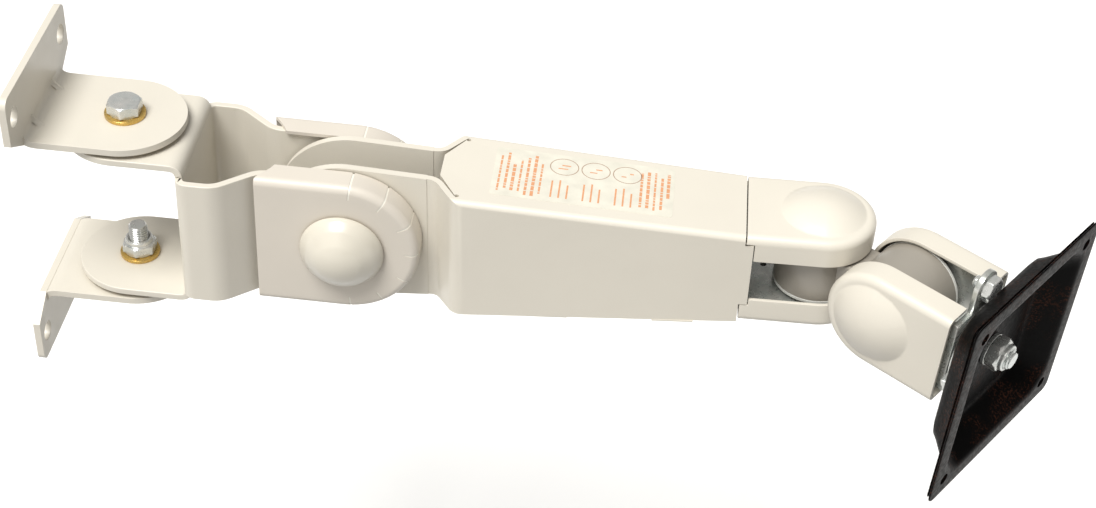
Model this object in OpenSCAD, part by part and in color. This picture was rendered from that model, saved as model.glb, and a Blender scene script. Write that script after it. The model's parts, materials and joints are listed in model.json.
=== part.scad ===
// Folding wall arm for a flat monitor: two wall brackets, a swinging yoke,
// a pitching box arm with a spring-return lock knob, an elbow, a tilting head
// and a turning monitor plate.
// Frame: origin on the wall plane, midway between the two wall brackets.
// +X points away from the wall, +Z up, -Y towards the knob side.

/* [Pose] */
// Pitch of the arm above level, degrees
arm_pitch = 1.5; // [-20:0.5:20]
// Turn of the elbow, degrees (negative towards the knob side)
elbow_turn = -35.8; // [-60:0.1:60]
// Tilt of the head, degrees (positive is down)
head_tilt = 2.5; // [-20:0.5:20]

/* [Wall brackets] */
// Distance from the wall to the hinge bolts
hinge_x = 37.2; // [34:0.1:42]
// Width of the bracket tongue
tongue_w = 50; // [44:1:54]
// Thickness of the bracket and yoke sheet
sheet = 3; // [2.5:0.1:3.2]
// Width of the wall flange
flange_w = 75; // [70:1:90]
// Height of the wall flange
flange_h = 30; // [28:1:36]
// Distance between the two holes of one flange
wall_hole_pitch = 60; // [56:1:62]
// Height of the wall holes above the underside of the tongue
wall_hole_up = 18.4; // [17:0.1:20]
// Wall hole diameter
wall_hole_d = 8.5; // [6:0.5:9]

/* [Yoke and pivot] */
// Distance from the wall to the pitch pivot
pivot_x = 129.6; // [126:0.1:133]
// Outer face of the yoke web, from the wall
web_x = 63; // [62.5:0.1:64]
// Outer width of the yoke web
web_w = 59; // [56:1:60]
// Half height of the yoke cheeks
cheek_half = 29.8; // [28:0.1:30]
// Outer half width across the cheeks at the pivot
cheek_y = 16.8; // [16.5:0.1:17.5]
// Outer half width across the joint covers
cover_y = 23; // [22.5:0.1:24]
// Outer radius of the joint covers
cover_r = 31.4; // [31.2:0.1:31.6]
// Travel of the release knob
knob_travel = 3.6; // [2:0.1:3.6]

/* [Arm] */
// Pivot axis to elbow axis
arm_len = 194; // [192:0.5:198]
// Half height of the arm at the pivot
arm_half_start = 32.5; // [32:0.1:33]
// Half height of the arm box at the elbow end
arm_half_end = 22; // [21.9:0.1:22.5]
// Arm sheet thickness
arm_t = 2.5; // [2:0.1:2.6]
// Outer half width of the fork that sits in the yoke
fork_y = 11.2; // [11:0.1:11.3]
// Outer half width of the box beside the fork
box_y_start = 23.5; // [23:0.1:24]
// Outer half width of the box at the elbow end
box_y_end = 21.6; // [21.4:0.1:22]

/* [Elbow and head] */
// Outer half height of the elbow, and half width of the head
cap_half = 22; // [21.8:0.1:22.2]
// Radius of the round end of the joint caps
cap_r = 21.5; // [21.3:0.1:21.7]
// Depth of the rim of the joint caps
cap_depth = 12; // [11:0.1:12.2]
// Elbow axis to tilt axis
knuckle_len = 40.3; // [40.2:0.1:42]
// Tilt axis to the end of the head caps
head_reach = 32.3; // [31:0.1:34]

/* [Monitor plate] */
// Side of the square monitor plate
plate_side = 92; // [90:1:94]
// Hole pitch of the monitor plate
plate_pitch = 75; // [74.8:0.1:75.2]
// Monitor hole diameter
plate_hole_d = 5; // [4.5:0.1:5.5]
// Depth of the dish in the monitor plate
dish_depth = 11.5; // [9:0.5:11.5]

/* [Hidden] */
$fn = 96;
tiny = 0.01;

// hinge stack, heights above mid height
ear_low = 32.25;
ear_top = ear_low + sheet;
spacer_t = 1.9;
tongue_low = ear_top + 2;
tongue_top = tongue_low + sheet;
bolt_d = 8;
washer_d = 16.8;
washer_t = 1.6;
hex_af = 13;
hinge_bolt_len = 25;

// pivot stack, distances from the middle plane
cheek_in = cheek_y - sheet;
cover_t = 1.5;
cover_back = 11.7;
cover_left = 94.2;
fork_in = fork_y - 3;
axle_d = 12;
index_r = 14;
index_d = 5;
bush_flange_r = 11;
stud_d = 6;
knob_r = 17.3;
knob_base = cover_y + 0.6;
knob_edge = 1.5;
knob_dome = 10.5;
knob_floor = 2;
pocket_r = 7.6;
pocket_h = knob_travel + 4;
retainer_y = knob_base + knob_floor + knob_travel + 2.5;

// arm box, distances along the arm from the pivot
box_end = 162.7;
bend_in = 37.4;
bend_out = 46.2;
roof_start = 38.4;

// elbow and head stack
cap_t = 1.6;
tab_top = 18;
tab_low = -12.6;
tab_reach = 3.5;
bulge_r = 17.1;
bulge_h = 5.2;
lug_out = 17.1;
lug_in = 14.6;
drum_half = 12.8;
elbow_drum_r = 17.2;
head_drum_r = 18.6;
neck_half = 8.8;
bush_d = 10;
spring_t = 1.4;
elbow_back = arm_len - box_end - 0.5;
web_back = 31.2;
web_front = web_back + 2.5;
stop_front = web_front + 3.5;
plate_back = stop_front + 2.2;
plate_t = 2;
plate_face = plate_back + plate_t + dish_depth;
lug_bolt_z = 27;

// ---------- frames ----------

// Arm frame: origin on the pivot, x along the arm
module arm_place() {
    translate([pivot_x, 0, 0]) rotate([0, -arm_pitch, 0]) children();
}

// Elbow frame: z along the elbow axis
module elbow_place() {
    arm_place() translate([arm_len, 0, 0]) children();
}

// Knuckle frame: x along the knuckle neck
module knuckle_place() {
    elbow_place() rotate([0, 0, elbow_turn]) children();
}

// Head frame: origin on the tilt axis, x towards the monitor
module head_place() {
    knuckle_place() translate([knuckle_len, 0, 0]) rotate([0, head_tilt, 0]) children();
}

// ---------- helpers ----------

// Points of a bend at corner b between a and c, reaching len back along each leg
function bend(a, b, c, len, n = 6) =
    let (u = (a - b) / norm(a - b), v = (c - b) / norm(c - b), s = b + u * len, e = b + v * len)
    [for (i = [0:n]) let (t = i / n) (1 - t) * (1 - t) * s + 2 * t * (1 - t) * b + t * t * e];

// A path with every inner corner bent
function bent_path(p, len) = concat([p[0]],
    [for (i = [1:len(p) - 2]) each bend(p[i - 1], p[i], p[i + 1], len)],
    [p[len(p) - 1]]);

function side_of(p, i) =
    let (a = p[max(i - 1, 0)], b = p[min(i + 1, len(p) - 1)], d = (b - a) / norm(b - a))
    [-d[1], d[0]];

// Outline of a sheet of thickness t that follows a path
function band(p, t) = concat(
    [for (i = [0:len(p) - 1]) p[i] + side_of(p, i) * t / 2],
    [for (i = [len(p) - 1:-1:0]) p[i] - side_of(p, i) * t / 2]);

function mirrored(p) = [for (q = p) [q[0], -q[1]]];

module ring(outer_d, inner_d, h) {
    difference() {
        cylinder(d = outer_d, h = h);
        translate([0, 0, -1]) cylinder(d = inner_d, h = h + 2);
    }
}

// Hexagon prism with chamfered corners at its outer end
module hex_body(af, h) {
    intersection() {
        cylinder(d = af / cos(30), h = h, $fn = 6);
        union() {
            cylinder(d = af * 1.2, h = h - 0.8);
            translate([0, 0, h - 0.8 - tiny]) cylinder(d1 = af * 1.16, d2 = af * 0.96, h = 0.8 + tiny);
        }
    }
}

// Bolt with its bearing face at z = 0, head above, shank below
module hex_bolt(d, len, af, head_h) {
    hex_body(af, head_h);
    translate([0, 0, -len + 0.6]) cylinder(d = d, h = len - 0.6 + tiny);
    translate([0, 0, -len]) cylinder(d1 = d - 1.2, d2 = d, h = 0.6 + tiny);
}

// Lock nut with its bearing face at z = 0
module lock_nut(d, af, hex_h, collar_h) {
    difference() {
        union() {
            hex_body(af, hex_h);
            cylinder(d = af * 0.9, h = hex_h + collar_h);
        }
        translate([0, 0, -1]) cylinder(d = d, h = hex_h + collar_h + 2);
    }
}

// Square with round corners, centred
module soft_square(half, r) {
    union() {
        square([2 * half, 2 * (half - r)], center = true);
        square([2 * (half - r), 2 * half], center = true);
        for (sx = [-1, 1], sy = [-1, 1])
            translate([sx * (half - r), sy * (half - r)]) circle(r = r);
    }
}

// ---------- wall brackets ----------

module bracket_outline() {
    waist = tongue_w / 2;
    half = flange_w / 2;
    low = tongue_low + 1;
    wide = tongue_low + 9;
    r = 4;
    polygon([[-waist, low], [-half, wide], [-half, tongue_low + flange_h - r],
        [-half + r, tongue_low + flange_h], [half - r, tongue_low + flange_h],
        [half, tongue_low + flange_h - r], [half, wide], [waist, low]]);
    for (s = [-1, 1]) translate([s * (half - r), tongue_low + flange_h - r]) circle(r = r);
}

module wall_bracket() {
    radius = 6;
    path = bent_path([[hinge_x + tongue_w, tongue_low + sheet / 2], [sheet / 2, tongue_low + sheet / 2],
        [sheet / 2, tongue_low + flange_h]], radius);
    difference() {
        union() {
            // tongue, bend and flange as one bent strip
            intersection() {
                rotate([90, 0, 0]) linear_extrude(tongue_w, center = true) polygon(band(path, sheet));
                union() {
                    translate([0, -tongue_w / 2, 0]) cube([hinge_x, tongue_w, tongue_low + flange_h]);
                    translate([hinge_x, 0, 0]) cylinder(d = tongue_w, h = tongue_low + flange_h);
                }
            }
            // wide part of the flange
            intersection() {
                cube([2 * sheet, 2 * flange_w, 200], center = true);
                rotate([90, 0, 90]) linear_extrude(sheet) bracket_outline();
            }
            // stamped stiffening darts across the bend
            for (s = [-1, 1]) translate([4.4, s * 13, tongue_top + 1.4])
                rotate([0, 45, 0]) rotate([45, 0, 0]) cube([7.4, 2.4, 2.4], center = true);
        }
        translate([hinge_x, 0, tongue_low - 1]) cylinder(d = bolt_d + 0.2, h = sheet + 2);
        for (s = [-1, 1]) translate([-1, s * wall_hole_pitch / 2, tongue_low + wall_hole_up])
            rotate([0, 90, 0]) cylinder(d = wall_hole_d, h = sheet + 2);
    }
}

module upper_wall_bracket() {
    color("ivory") wall_bracket();
}

module lower_wall_bracket() {
    color("ivory") mirror([0, 0, 1]) wall_bracket();
}

module hinge_bolts() {
    color("silver") for (s = [0, 1]) mirror([0, 0, s])
        translate([hinge_x, 0, tongue_top + washer_t]) hex_bolt(bolt_d, hinge_bolt_len, hex_af, 5.3);
}

module hinge_washers() {
    color("goldenrod") for (s = [0, 1]) mirror([0, 0, s]) translate([hinge_x, 0, 0]) {
        translate([0, 0, tongue_top]) ring(washer_d, bolt_d, washer_t);
        translate([0, 0, ear_low - washer_t - 0.05]) ring(washer_d, bolt_d, washer_t);
    }
}

module hinge_lock_nuts() {
    color("silver") for (s = [0, 1]) mirror([0, 0, s])
        translate([hinge_x, 0, ear_low - washer_t - 0.05]) mirror([0, 0, 1])
            lock_nut(bolt_d, hex_af, 5, 2.2);
}

// ---------- yoke ----------

module yoke_side_outline() {
    translate([web_x - 1, -cheek_half]) square([pivot_x - web_x + 1, 2 * cheek_half]);
    translate([pivot_x, 0]) circle(r = cheek_half);
}

module yoke_ear() {
    ear_z = ear_low + sheet / 2;
    web_mid = web_x + sheet / 2;
    path = bent_path([[0, ear_z], [web_mid, ear_z], [web_mid, 0]], 4.5);
    difference() {
        intersection() {
            rotate([90, 0, 0]) linear_extrude(tongue_w, center = true) polygon(band(path, sheet));
            union() {
                translate([hinge_x, -tongue_w / 2, 0]) cube([60, tongue_w, 50]);
                translate([hinge_x, 0, 0]) cylinder(d = tongue_w, h = 50);
            }
        }
        translate([hinge_x, 0, ear_low - 1]) cylinder(d = 12, h = sheet + 2);
    }
}

module yoke() {
    mid_y = cheek_y - sheet / 2;
    web_mid = web_x + sheet / 2;
    flare_y = web_w / 2 - sheet / 2;
    half_path = [[pivot_x + 40, -mid_y], [94.5, -mid_y], [79, -flare_y], [web_mid, -flare_y], [web_mid, 0]];
    path = bent_path(half_path, 4);
    color("ivory") {
        difference() {
            intersection() {
                linear_extrude(80, center = true) {
                    polygon(band(path, sheet));
                    mirror([0, 1]) polygon(band(path, sheet));
                }
                rotate([90, 0, 0]) linear_extrude(80, center = true) yoke_side_outline();
            }
            // axle bore and the guide holes of the index pins
            translate([pivot_x, 50, 0]) rotate([90, 0, 0]) cylinder(d = axle_d, h = 100);
            for (s = [-1, 1]) translate([pivot_x, 0, s * index_r])
                rotate([90, 0, 0]) cylinder(d = index_d + 0.2, h = 50);
        }
        yoke_ear();
        mirror([0, 0, 1]) yoke_ear();
    }
}

module hinge_bushes() {
    color("gainsboro") for (s = [0, 1]) mirror([0, 0, s]) translate([hinge_x, 0, ear_low]) {
        ring(12, bolt_d + 0.1, sheet + spacer_t);
        translate([0, 0, sheet]) ring(20, bolt_d + 0.1, spacer_t);
    }
}

// ---------- joint covers and axle ----------

module cover_outline(r) {
    translate([cover_left - 20, -r]) square([pivot_x - cover_left + 20, 2 * r]);
    translate([pivot_x, 0]) circle(r = r);
}

// D-shaped cap over one yoke cheek; slits divide its rim
module joint_cover() {
    depth = cover_y - cover_back;
    slit_turns = [-84, -56, -28, 0, 28, 56, 84];
    difference() {
        rotate([90, 0, 0]) translate([0, 0, cover_back]) linear_extrude(depth) cover_outline(cover_r);
        rotate([90, 0, 0]) translate([0, 0, cover_back - 1]) linear_extrude(depth - cover_t + 1)
            cover_outline(cover_r - cover_t);
        // left end, cut back along the bend of the yoke
        translate([0, 0, -50]) linear_extrude(100) polygon([[0, -cover_y - 1], [cover_left, -cover_y - 1],
            [cover_left, -cover_y + cover_t], [cover_left + 6.4, -cover_back + 1], [0, -cover_back + 1]]);
        for (turn = slit_turns) translate([pivot_x, 0, 0]) rotate([0, -turn, 0])
            translate([cover_r - 4, -cover_y + 1, -0.5]) cube([6, cover_y, 1]);
        children();
    }
}

module front_joint_cover() {
    color("linen") joint_cover() {
        translate([pivot_x, 0, 0]) rotate([90, 0, 0]) cylinder(d = stud_d + 1, h = 50);
        for (s = [-1, 1]) translate([pivot_x, 0, s * index_r])
            rotate([90, 0, 0]) cylinder(d = index_d + 0.8, h = 50);
    }
}

module rear_joint_cover() {
    color("linen") mirror([0, 1, 0]) joint_cover()
        translate([pivot_x, 0, 0]) rotate([90, 0, 0]) cylinder(d = 24, h = 50);
}

// Turned axle with a flange, a threaded rear end and a thin stud for the knob
module pivot_axle() {
    color("silver") translate([pivot_x, 0, 0]) {
        translate([0, cheek_y + 8.5, 0]) rotate([90, 0, 0]) cylinder(d = axle_d, h = 2 * cheek_y + 8.5);
        translate([0, -cheek_y, 0]) rotate([90, 0, 0]) cylinder(d = 21, h = 2);
        translate([0, -cheek_y, 0]) rotate([90, 0, 0]) cylinder(d = stud_d, h = retainer_y + 1.2 - cheek_y);
    }
}

module pivot_washer() {
    color("silver") translate([pivot_x, cheek_y, 0]) rotate([-90, 0, 0]) ring(22, axle_d, 1.2);
}

module pivot_nut() {
    color("silver") translate([pivot_x, cheek_y + 1.2, 0]) rotate([-90, 0, 0])
        lock_nut(axle_d, 18, 5.2, 1.6);
}

// Low dome with an edge, standing on z = 0
module dome(r, edge, h) {
    ball = (r * r + h * h) / (2 * h);
    intersection() {
        translate([0, 0, edge + h - ball]) sphere(r = ball);
        cylinder(r = r, h = edge + h + 1);
    }
}

module rear_dome_cap() {
    color("linen") translate([pivot_x, cover_y, 0]) rotate([-90, 0, 0]) difference() {
        dome(knob_r, knob_edge, knob_dome - 3);
        translate([0, 0, -1]) cylinder(r = 12, h = 4.2);
    }
}

module knob_retainer() {
    color("silver") translate([pivot_x, -retainer_y, 0]) rotate([90, 0, 0]) ring(2 * pocket_r - 1.2, stud_d, 1);
}

// Coil spring swept along a helix
module knob_spring() {
    turns = 2.5;
    wire = 0.35;
    coil = 5.2;
    sides = 8;
    steps = 24;
    start = knob_base + knob_floor + wire;
    rise = (retainer_y - wire - start) / turns;
    rings = turns * steps;
    points = [for (i = [0:rings], j = [0:sides - 1])
        let (a = 360 * i / steps, b = 360 * j / sides, r = coil + wire * cos(b))
        [r * cos(a), -(start + rise * i / steps + wire * sin(b)), r * sin(a)]];
    walls = [for (i = [0:rings - 1], j = [0:sides - 1])
        let (k = (j + 1) % sides)
        [i * sides + j, i * sides + k, (i + 1) * sides + k, (i + 1) * sides + j]];
    first = [[for (j = [sides - 1:-1:0]) j]];
    last = [[for (j = [0:sides - 1]) rings * sides + j]];
    color("silver") translate([pivot_x, 0, 0]) polyhedron(points, concat(walls, first, last));
}

module release_knob() {
    color("linen") translate([pivot_x, -knob_base, 0]) rotate([90, 0, 0]) difference() {
        dome(knob_r, knob_edge, knob_dome);
        translate([0, 0, knob_floor]) cylinder(r = pocket_r, h = pocket_h);
        translate([0, 0, -1]) cylinder(d = stud_d + 0.4, h = knob_floor + 2);
        for (s = [-1, 1]) translate([0, s * index_r, -1]) cylinder(d = index_d, h = 3.2);
    }
}

// Their tips stop just short of the fork so that the arm can be posed freely
module index_pins() {
    tip = fork_y + 0.3;
    color("silver") for (s = [-1, 1]) translate([pivot_x, -tip, s * index_r])
        rotate([90, 0, 0]) cylinder(d = index_d, h = knob_base + 2.2 - tip);
}

// ---------- arm ----------

function arm_half(x) = arm_half_start + (arm_half_end - arm_half_start) * x / box_end;

// Round end at the pivot, straight tapering edges, and a tab that reaches into the elbow caps
module arm_side_outline() {
    slope = atan((arm_half_start - arm_half_end) / box_end);
    r = arm_half_start * cos(slope);
    tab_end = box_end + tab_reach;
    circle(r = r + 0.02);
    polygon([[r * sin(slope), r * cos(slope)], [box_end, arm_half(box_end)], [box_end, tab_top],
        [tab_end, tab_top], [tab_end, tab_low], [box_end, tab_low], [box_end, -arm_half(box_end)],
        [r * sin(slope), -r * cos(slope)]]);
}

module arm_wall() {
    mid_in = fork_y - 1.5;
    mid_start = box_y_start - arm_t / 2;
    mid_end = box_y_end - arm_t / 2;
    path = bent_path([[-40, -mid_in], [bend_in, -mid_in], [bend_out, -mid_start], [box_end + 4, -mid_end]], 3.5);
    // the fork plates are a little thicker than the box sheet
    fork = [[-40, -fork_y], [bend_in - 4, -fork_y], [bend_in - 4, -fork_in], [-40, -fork_in]];
    intersection() {
        linear_extrude(80, center = true) {
            polygon(band(path, arm_t));
            polygon(fork);
        }
        rotate([90, 0, 0]) linear_extrude(80, center = true) arm_side_outline();
    }
}

// Roof of the box; its rear end is cropped beside the bends of the walls
module arm_roof() {
    roof = [[roof_start, arm_half(roof_start)], [box_end, arm_half(box_end)],
        [box_end, arm_half(box_end) - arm_t], [roof_start, arm_half(roof_start) - arm_t]];
    plan = [[roof_start, 6.9], [bend_out + 0.5, 20.2], [bend_out + 2.5, box_y_start - 0.5],
        [box_end, box_y_end - 0.5]];
    intersection() {
        rotate([90, 0, 0]) linear_extrude(60, center = true) polygon(roof);
        linear_extrude(100) polygon(concat(plan, [for (i = [3:-1:0]) mirrored(plan)[i]]));
    }
}

module arm_shell() {
    color("ivory") arm_place() difference() {
        union() {
            arm_wall();
            mirror([0, 1, 0]) arm_wall();
            arm_roof();
        }
        // bores of the pivot bushes
        translate([0, 50, 0]) rotate([90, 0, 0]) cylinder(d = 14, h = 100);
        // index holes of the lock, in the front fork plate
        for (turn = [0:30:330]) rotate([0, turn + arm_pitch, 0]) translate([0, -fork_in + 1, index_r])
            rotate([90, 0, 0]) cylinder(d = index_d + 0.3, h = 5);
        // relief holes at the ends of the roof slits
        for (s = [-1, 1]) translate([bend_out + 0.55, s * 19.1, 20]) cylinder(d = 1.8, h = 20);
    }
}

// Inside plan of the box between the two walls
module box_plan(gap) {
    y_start = box_y_start - arm_t - gap;
    y_end = box_y_end - arm_t - gap;
    polygon([[bend_out + 4, -y_start], [box_end - 1, -y_end], [box_end - 1, y_end], [bend_out + 4, y_start]]);
}

module arm_bottom_cover() {
    floor_t = 1.5;
    edge = [[bend_out + 4, arm_half(bend_out + 4)], [box_end - 1, arm_half(box_end - 1)]];
    color("ivory") arm_place() {
        intersection() {
            rotate([90, 0, 0]) linear_extrude(60, center = true) polygon([for (q = edge) [q[0], -q[1]],
                [edge[1][0], -edge[1][1] + 8], [edge[0][0], -edge[0][1] + 8]]);
            difference() {
                translate([0, 0, -60]) linear_extrude(60) box_plan(0.05);
                intersection() {
                    translate([0, 0, -60]) linear_extrude(60) box_plan(0.05 + floor_t);
                    rotate([90, 0, 0]) linear_extrude(60, center = true) polygon([
                        [edge[0][0] - 1, -edge[0][1] + floor_t], [edge[1][0] + 1, -edge[1][1] + floor_t],
                        [edge[1][0] + 1, 0], [edge[0][0] - 1, 0]]);
                }
            }
        }
        // lips that hook under the wall edges
        for (s = [-1, 1], x = [76, 128]) {
            slope = atan((arm_half_start - arm_half_end) / box_end);
            translate([x, s * 20.6 - 1.7, -arm_half(x)]) rotate([0, -slope, 0])
                translate([0, 0, -0.7]) cube([17, 3.4, 0.75]);
        }
    }
}

module pivot_bushes() {
    color("whitesmoke") arm_place() for (s = [0, 1]) mirror([0, s, 0]) rotate([90, 0, 0]) {
        translate([0, 0, fork_in]) ring(14, axle_d + 0.1, fork_y - fork_in + 2);
        translate([0, 0, fork_y]) ring(2 * bush_flange_r, axle_d + 0.1, cheek_in - fork_y - 0.2);
    }
}

module pivot_spacer() {
    color("silver") arm_place() translate([0, fork_in, 0]) rotate([90, 0, 0])
        ring(18, axle_d + 0.4, 2 * fork_in);
}

// ---------- joint caps ----------

module cap_outline(r, reach) {
    circle(r = r);
    translate([-reach, -r]) square([reach, 2 * r]);
}

// Pressed cap: flat face outside at z = 0, rim going down, bulge on top
module joint_cap(reach) {
    ball = (bulge_r * bulge_r + bulge_h * bulge_h) / (2 * bulge_h);
    difference() {
        union() {
            translate([0, 0, -cap_depth]) linear_extrude(cap_depth) cap_outline(cap_r, reach);
            intersection() {
                translate([0, 0, bulge_h - ball]) sphere(r = ball);
                cylinder(r = bulge_r + 1, h = bulge_h + 1);
            }
        }
        translate([0, 0, -cap_depth - 1]) linear_extrude(cap_depth + 1 - cap_t)
            cap_outline(cap_r - cap_t, reach + 1);
        intersection() {
            translate([0, 0, bulge_h - ball]) sphere(r = ball - cap_t);
            translate([0, 0, -cap_t - 1]) cylinder(r = bulge_r - 1, h = bulge_h + cap_t + 2);
        }
    }
}

// The rim is notched up to the height tab, where the arm wall reaches past the seam
module elbow_cap(tab) {
    notch = tab_reach - 0.1;
    translate([0, 0, cap_half]) difference() {
        joint_cap(elbow_back);
        translate([-elbow_back - 1, -30, -cap_half]) cube([notch + 1, 60, tab + 0.3]);
    }
}

module elbow_upper_cap() {
    color("ivory") elbow_place() elbow_cap(tab_top);
}

module elbow_lower_cap() {
    color("ivory") elbow_place() mirror([0, 0, 1]) elbow_cap(-tab_low);
}

// ---------- elbow ----------

module elbow_bracket() {
    back = -48;
    half = 17;
    color("lightgray") elbow_place() difference() {
        union() {
            for (s = [0, 1]) mirror([0, 0, s]) translate([0, 0, lug_in]) linear_extrude(lug_out - lug_in) {
                circle(r = half);
                translate([back, -half]) square([-back, 2 * half]);
            }
            translate([back, -half, -lug_out]) cube([2.5, 2 * half, 2 * lug_out]);
            // side ears, spot-welded to the walls of the arm
            for (s = [-1, 1]) translate([back - 12, s * 18.1 - 1.25, -12]) cube([14.5, 2.5, 24]);
        }
        translate([0, 0, -30]) cylinder(d = bolt_d, h = 60);
        for (s = [0, 1]) mirror([0, 0, s]) translate([-21, 8, lug_in - 1]) cylinder(d = 2.6, h = 5);
    }
}

// Axle bolt of a friction joint along z: head at the bottom
module joint_axle() {
    translate([0, 0, -lug_out]) mirror([0, 0, 1]) hex_bolt(bolt_d, 2 * lug_out + 7.4, hex_af, 4.6);
}

module joint_springs() {
    translate([0, 0, lug_out]) ring(15, bolt_d, spring_t);
}

module joint_nut() {
    translate([0, 0, lug_out + spring_t]) lock_nut(bolt_d, hex_af, 4, 1.2);
}

module joint_friction_washers() {
    gap = 0.05;
    for (s = [0, 1]) mirror([0, 0, s]) translate([0, 0, drum_half + gap])
        ring(30, bolt_d + 0.1, lug_in - drum_half - 2 * gap);
}

module elbow_axle() {
    color("silver") elbow_place() joint_axle();
}

module elbow_disc_springs() {
    color("silver") elbow_place() joint_springs();
}

module elbow_nut() {
    color("silver") elbow_place() joint_nut();
}

module elbow_friction_washers() {
    color("dimgray") elbow_place() joint_friction_washers();
}

// ---------- knuckle ----------

// Stands a piece made along z on the tilt axis
module on_tilt_axis() {
    translate([knuckle_len, 0, 0]) rotate([90, 0, 0]) children();
}

module double_knuckle() {
    color("darkgray") knuckle_place() difference() {
        union() {
            translate([0, 0, -drum_half]) cylinder(r = elbow_drum_r, h = 2 * drum_half);
            on_tilt_axis() translate([0, 0, -drum_half]) cylinder(r = head_drum_r, h = 2 * drum_half);
            translate([8, -neck_half, -neck_half]) cube([knuckle_len - 14, 2 * neck_half, 2 * neck_half]);
        }
        translate([0, 0, -30]) cylinder(d = bush_d, h = 60);
        on_tilt_axis() translate([0, 0, -30]) cylinder(d = bush_d, h = 60);
    }
}

module knuckle_bushes() {
    color("goldenrod") knuckle_place() {
        translate([0, 0, -drum_half]) ring(bush_d, bolt_d + 0.1, 2 * drum_half);
        on_tilt_axis() translate([0, 0, -drum_half]) ring(bush_d, bolt_d + 0.1, 2 * drum_half);
    }
}

// ---------- head ----------

module head_cap() {
    rotate([90, 0, 0]) translate([0, 0, cap_half]) mirror([1, 0, 0]) joint_cap(head_reach);
}

module head_front_cap() {
    color("ivory") head_place() head_cap();
}

module head_rear_cap() {
    color("ivory") head_place() mirror([0, 1, 0]) head_cap();
}

// Plated fork with a web across its front and a lug that carries the stop screw
module head_bracket() {
    half = 17;
    color("lightgray") head_place() difference() {
        union() {
            for (s = [0, 1]) mirror([0, s, 0]) rotate([90, 0, 0]) translate([0, 0, lug_in])
                linear_extrude(lug_out - lug_in) {
                    circle(r = half);
                    translate([0, -half]) square([web_front, 2 * half]);
                }
            translate([web_back, -lug_out, -half]) cube([web_front - web_back, 2 * lug_out, 2 * half]);
            translate([web_back, 0, 0]) rotate([90, 0, 90]) linear_extrude(web_front - web_back) {
                translate([-7, 10]) square([14, lug_bolt_z - 10]);
                translate([0, lug_bolt_z]) circle(r = 7);
            }
        }
        translate([0, 50, 0]) rotate([90, 0, 0]) cylinder(d = bolt_d, h = 100);
        rotate([0, 90, 0]) cylinder(d = bolt_d, h = 60);
        translate([20, 0, lug_bolt_z]) rotate([0, 90, 0]) cylinder(d = 6, h = 30);
    }
}

module tilt_axle() {
    color("silver") head_place() rotate([90, 0, 0]) joint_axle();
}

module tilt_disc_springs() {
    color("silver") head_place() rotate([90, 0, 0]) joint_springs();
}

module tilt_nut() {
    color("silver") head_place() rotate([90, 0, 0]) joint_nut();
}

module tilt_friction_washers() {
    color("dimgray") head_place() rotate([90, 0, 0]) joint_friction_washers();
}

module stop_screw() {
    color("silver") head_place() translate([web_front, 0, lug_bolt_z]) rotate([0, 90, 0])
        hex_bolt(6, web_front - web_back + 3, 10, 4);
}

module swivel_bolt() {
    color("silver") head_place() translate([web_back, 0, 0]) rotate([0, -90, 0])
        hex_bolt(bolt_d, plate_face - web_back - 0.8, hex_af, 5.3);
}

module swivel_friction_washer() {
    color("dimgray") head_place() translate([web_front, 0, 0]) rotate([0, 90, 0])
        ring(32, bolt_d, 0.95);
}

module swivel_washer() {
    color("silver") head_place() translate([plate_back + plate_t + 0.05, 0, 0]) rotate([0, 90, 0])
        ring(14, bolt_d, washer_t);
}

module swivel_lock_nut() {
    color("silver") head_place() translate([plate_back + plate_t + 0.05 + washer_t, 0, 0])
        rotate([0, 90, 0]) lock_nut(bolt_d, hex_af, 5, 2.2);
}

// ---------- monitor plate ----------

// Disc with a raised sector; its ends meet the stop screw a quarter turn each way
module stop_disc() {
    disc_r = 19.5;
    stop_r = 24;
    open_half = 90 + 14;
    reach = 40;
    color("lightgray") head_place() translate([web_front + 1, 0, 0]) rotate([90, 0, 90]) difference() {
        union() {
            cylinder(r = disc_r, h = stop_front - web_front - 1);
            intersection() {
                cylinder(r = stop_r, h = stop_front - web_front - 1);
                linear_extrude(20) polygon([[0, 0], for (a = [open_half, 150, 210, 360 - open_half])
                    [reach * sin(a), reach * cos(a)]]);
            }
        }
        translate([0, 0, -1]) cylinder(d = bolt_d + 0.1, h = 20);
    }
}

module plate_spacer() {
    color("dimgray") head_place() translate([stop_front, 0, 0]) rotate([0, 90, 0])
        ring(34, bolt_d + 0.1, plate_back - stop_front);
}

module dish_block(front_half, front_r, back_half, back_r, x_front, x_back) {
    hull() {
        translate([x_front - tiny, 0, 0]) rotate([90, 0, 90]) linear_extrude(tiny)
            soft_square(front_half, front_r, $fn = 32);
        translate([x_back, 0, 0]) rotate([90, 0, 90]) linear_extrude(tiny)
            soft_square(back_half, back_r, $fn = 32);
    }
}

// Square plate with a dished middle
module monitor_plate() {
    mouth = 37;
    base = 30;
    floor_front = plate_back + plate_t;
    color("black") head_place() difference() {
        union() {
            translate([plate_face - plate_t, 0, 0]) rotate([90, 0, 90]) linear_extrude(plate_t)
                soft_square(plate_side / 2, 4);
            dish_block(mouth + 1.6, 13.6, base + 1.6, 11.6, plate_face - plate_t + 0.5, plate_back);
        }
        dish_block(mouth, 12, base, 10, plate_face + 0.1, floor_front);
        rotate([0, 90, 0]) cylinder(d = bolt_d + 0.1, h = 80);
        for (sy = [-1, 1], sz = [-1, 1]) translate([plate_back, sy * plate_pitch / 2, sz * plate_pitch / 2])
            rotate([0, 90, 0]) cylinder(d = plate_hole_d, h = 40);
    }
}

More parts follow.
